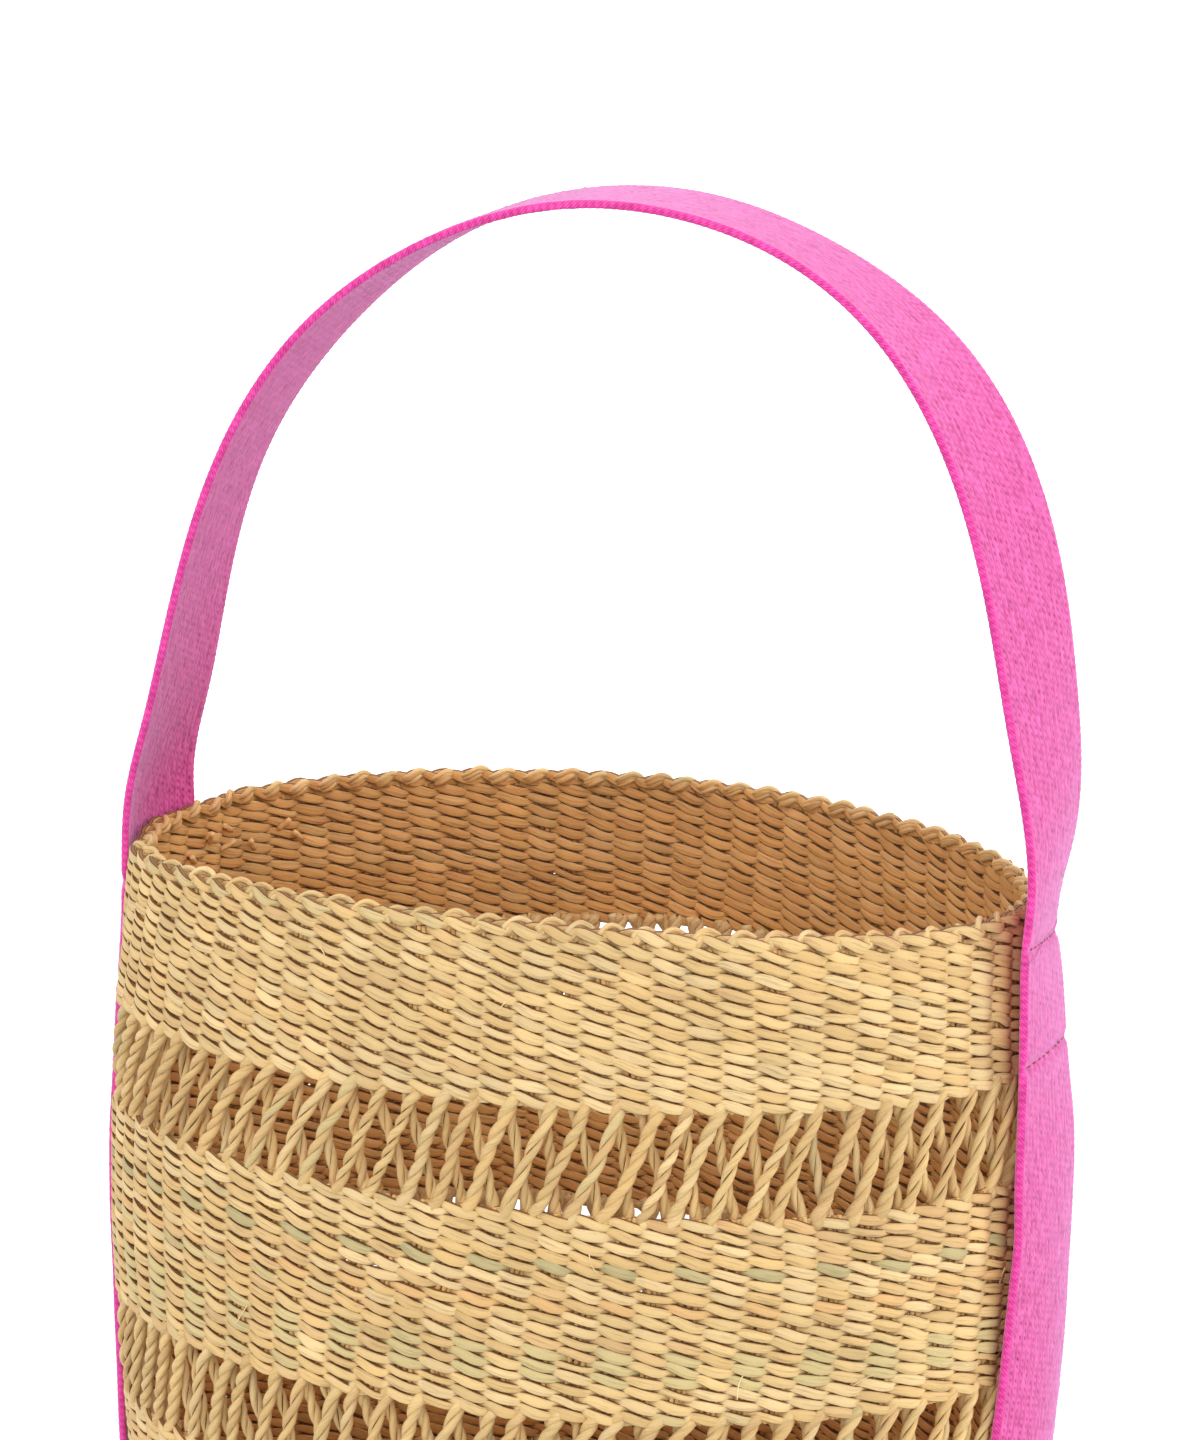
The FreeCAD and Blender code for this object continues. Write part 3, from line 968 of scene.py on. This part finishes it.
def finishPiece(piece, material, nodes, body="basket"):
    piece.data.materials.append(material)
    if nodes:
        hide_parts(*nodes)
    if body:
        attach(piece, body)


def finishGrass(piece, *nodes):
    finishPiece(piece, driedGrass, nodes)


driedGrass = grassMaterial()
pinkWebbing = webbingMaterial()
brownThread = threadMaterial()

# rows of the middle band that carry lengths of another colour, counted from the bottom of each half
middleAccents = {
    "Low": {"tallAtStitch": 1.6 * mm, "thinShare": 0.1, "accents": {3: "olive", 4: "olive", 5: "olive"}},
    "High": {"tallAtStitch": 1.61 * mm, "thinShare": 0.1, "accents": {1: "orange", 4: "green"}},
}

# walls
rimRowLevel = rimTop - rim["edgeAbove"] - rim["rowHeight"] / 2
topRows = rowLevels(topBottom, rimRowLevel - rim["rowHeight"] / 2)
columns = wall["columns"]
finishGrass(twineRows("topWallWeave", topRows, columns, 1), "top_wall")
finishGrass(twineRows("rimRow", [rimRowLevel], columns, 2, rim["row"], rim["rowShift"]), "rim_border")
finishGrass(rimBorder("rimBorder", 3))
for wallName, low, high, seeds, settings in (
        ("middleWall", middleBottom, middleTop, (4, 45), middleAccents),
        ("thirdWall", thirdBottom, thirdTop, (6, 7), {}),
        ("lowerWall", heelTop - heelArc, lowerTop, (8, 9), {})):
    levels = rowLevels(low, high)
    half = len(levels) // 2
    node = wallName.replace("Wall", "_wall")
    for place, rows, seed, nodes in (("Low", levels[:half], seeds[0], [node]),
                                     ("High", levels[half:], seeds[1], [])):
        piece = twineRows(wallName + "Weave" + place, rows, columns, seed, settings.get(place))
        finishGrass(piece, *nodes)
for name, low, high, seed in (
        ("topWallStakes", topBottom, rimTop - stakes["belowRim"], 11),
        ("middleWallStakes", middleBottom, middleTop, 12), ("thirdWallStakes", thirdBottom, thirdTop, 13),
        ("lowerWallStakes", heelTop - heelArc, lowerTop, 14)):
    finishGrass(stakeStems(name, low, high, columns, seed))
bands = [(topBottom, rimTop - fray["belowRim"]), (middleBottom, middleTop), (thirdBottom, thirdTop)]
finishGrass(looseEnds("looseFibres", bands, 15))
finishGrass(cutStubs("cutStubs"))
print("walls twined")

# base: rows walk inwards on the flat, with fewer columns as the ovals get shorter. Each step is the
# distance in mm where it starts and ends, and its columns
baseSteps = [(0, 20, columns), (20, 38, 52), (38, 54, 38), (54, 66, 26), (66, 71.5, 18)]
flatStart = heelTop - heelArc
for number, (near, far, around) in enumerate(baseSteps):
    levels = rowLevels(flatStart - far * mm, flatStart - near * mm)
    piece = twineRows("baseWeave" + str(number + 1), levels, around, 20 + number, {"rowWave": 0.1 * mm})
    finishGrass(piece, *(("base", "heel") if number == 0 else ()))
    finishGrass(stakeStems("baseStakes" + str(number + 1), levels[0], levels[-1], around, 60 + number))
print("base twined")

# openwork
openings = {"upper": (middleTop, topBottom), "middle": (thirdTop, middleBottom),
            "lower": (lowerTop, thirdBottom)}
for number, (place, (low, high)) in enumerate(openings.items()):
    for layer in ("outer", "inner"):
        seed = 30 + 2 * number + (layer == "outer")
        piece = ropes(place + "Openwork" + layer.capitalize(), low, high, layer, seed)
        finishPiece(piece, driedGrass, [place + "_openwork_" + layer + "_ropes"])
print("openwork roped")

# strap
rightSeam, leftSeam = (distanceAt(side, strap["sewnTop"]) for side in ("right", "left"))
underRight, underLeft = strap["pieceStart"], strapAt[-1] - strap["pieceStart"]
handleStrap = strapPiece("handleStrap", rightSeam, leftSeam)
finishPiece(handleStrap, pinkWebbing, ["handle"], None)
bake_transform(handleStrap)
for name, start, finish, nodes in (
        ("rightStrap", underRight, rightSeam, ["right_webbing"]),
        ("leftStrap", leftSeam, underLeft, ["left_webbing"]),
        ("baseStrapRight", 0, underRight, ["base_webbing"]),
        ("baseStrapLeft", underLeft, strapAt[-1], [])):
    finishPiece(strapPiece(name, start, finish, False), pinkWebbing, nodes)
for node in seams:
    side, place, _ = node.split("_")
    finishPiece(threadLine(side + place.capitalize() + "Thread", node), brownThread, [node])
print("strap woven,", round(strapAt[-1]), "mm long")

# camera
shot = {
    "azimuth": 21,
    "elevation": 15.25,
    "distance": 1.491,
    "lens": 135.725,
    "aimAside": 7.2 * mm,
    "aimAbove": 35.8 * mm,
}


def makeCamera():
    azimuth, elevation = math.radians(shot["azimuth"]), math.radians(shot["elevation"])
    rimMiddle = Vector((0, 0, rimTop))
    back = Vector((math.sin(azimuth) * math.cos(elevation), -math.cos(azimuth) * math.cos(elevation),
                   math.sin(elevation)))
    right = Vector((math.cos(azimuth), math.sin(azimuth), 0))
    up = back.cross(right)
    data = bpy.data.cameras.new("shot")
    data.lens = shot["lens"]
    data.sensor_width = 36
    data.clip_end = 100
    camera = bpy.data.objects.new("shot", data)
    camera.location = rimMiddle + back * shot["distance"]
    aim = rimMiddle + right * shot["aimAside"] + up * shot["aimAbove"]
    camera.rotation_euler = (aim - camera.location).to_track_quat("-Z", "Y").to_euler()
    bpy.context.scene.collection.objects.link(camera)
    bpy.context.scene.camera = camera


makeCamera()

lamps = {
    "key": {"at": (0.9, -1.6, 1.9), "size": 1.6, "power": 19.8},
    "fill": {"at": (-1.6, -1.5, 1.2), "size": 1.8, "power": 11},
    "top": {"at": (0.0, 0.5, 2.4), "size": 2.4, "power": 26},
    "right": {"at": (2.2, 0.4, 0.9), "size": 1.8, "power": 18},
}
light = {
    "sky": 0.69,
    "white": 1.0,
    "aim": (0, 0, 0.25),
    "floor": 12.0,
    "floorShade": (0.8, 0.8, 0.8, 1),
    "floorGlow": (0.5, 1.6, 0.35, 1.0),
}


def makeLights():
    for name, style in lamps.items():
        data = bpy.data.lights.new(name, "AREA")
        data.shape = "DISK"
        data.size = style["size"]
        data.energy = style["power"]
        lamp = bpy.data.objects.new(name, data)
        lamp.location = style["at"]
        lamp.rotation_euler = (Vector(light["aim"]) - lamp.location).to_track_quat("-Z", "Y").to_euler()
        bpy.context.scene.collection.objects.link(lamp)


def directRays(tree):
    # 1 for rays that come straight from the camera or off gloss and glass, 0 for light on the object
    path = wire(tree, "LightPath").outputs
    seen = worked(tree, "MAXIMUM", path["Is Camera Ray"], path["Is Glossy Ray"])
    return worked(tree, "MAXIMUM", seen, path["Is Transmission Ray"])


def makeWorld():
    world = bpy.data.worlds.new("studio")
    bpy.context.scene.world = world
    tree = emptyTree(world)
    seen, sky = (wire(tree, "Background", {"Color": (1, 1, 1, 1), "Strength": light[name]}).outputs[0]
                 for name in ("white", "sky"))
    surface(tree, "MixShader", {0: directRays(tree), 1: sky, 2: seen}, "OutputWorld")


def makeFloor():
    # a pale matt sheet that glows a little to the camera only, more with the distance from the object
    size = light["floor"]
    sheet = np.array([(-size, -size, 0), (size, -size, 0), (size, size, 0), (-size, size, 0)], float)
    floor = makeObject("floor", sheet, [np.array([[0, 1, 2, 3]])])
    material, tree = newMaterial("paleFloor")
    place = wire(tree, "TexCoord").outputs["Object"]
    away = wire(tree, "VectorMath", {0: place}, operation="LENGTH").outputs["Value"]
    strength = worked(tree, "MULTIPLY", directRays(tree), ranged(tree, away, *light["floorGlow"]))
    matt = wire(tree, "BsdfDiffuse", {"Color": light["floorShade"]}).outputs[0]
    glow = wire(tree, "Emission", {"Color": (1, 1, 1, 1), "Strength": strength}).outputs[0]
    surface(tree, "AddShader", {0: matt, 1: glow})
    floor.data.materials.append(material)


makeLights()
makeWorld()
makeFloor()
bpy.context.scene.view_settings.view_transform = "Standard"
print("camera, light and floor set")
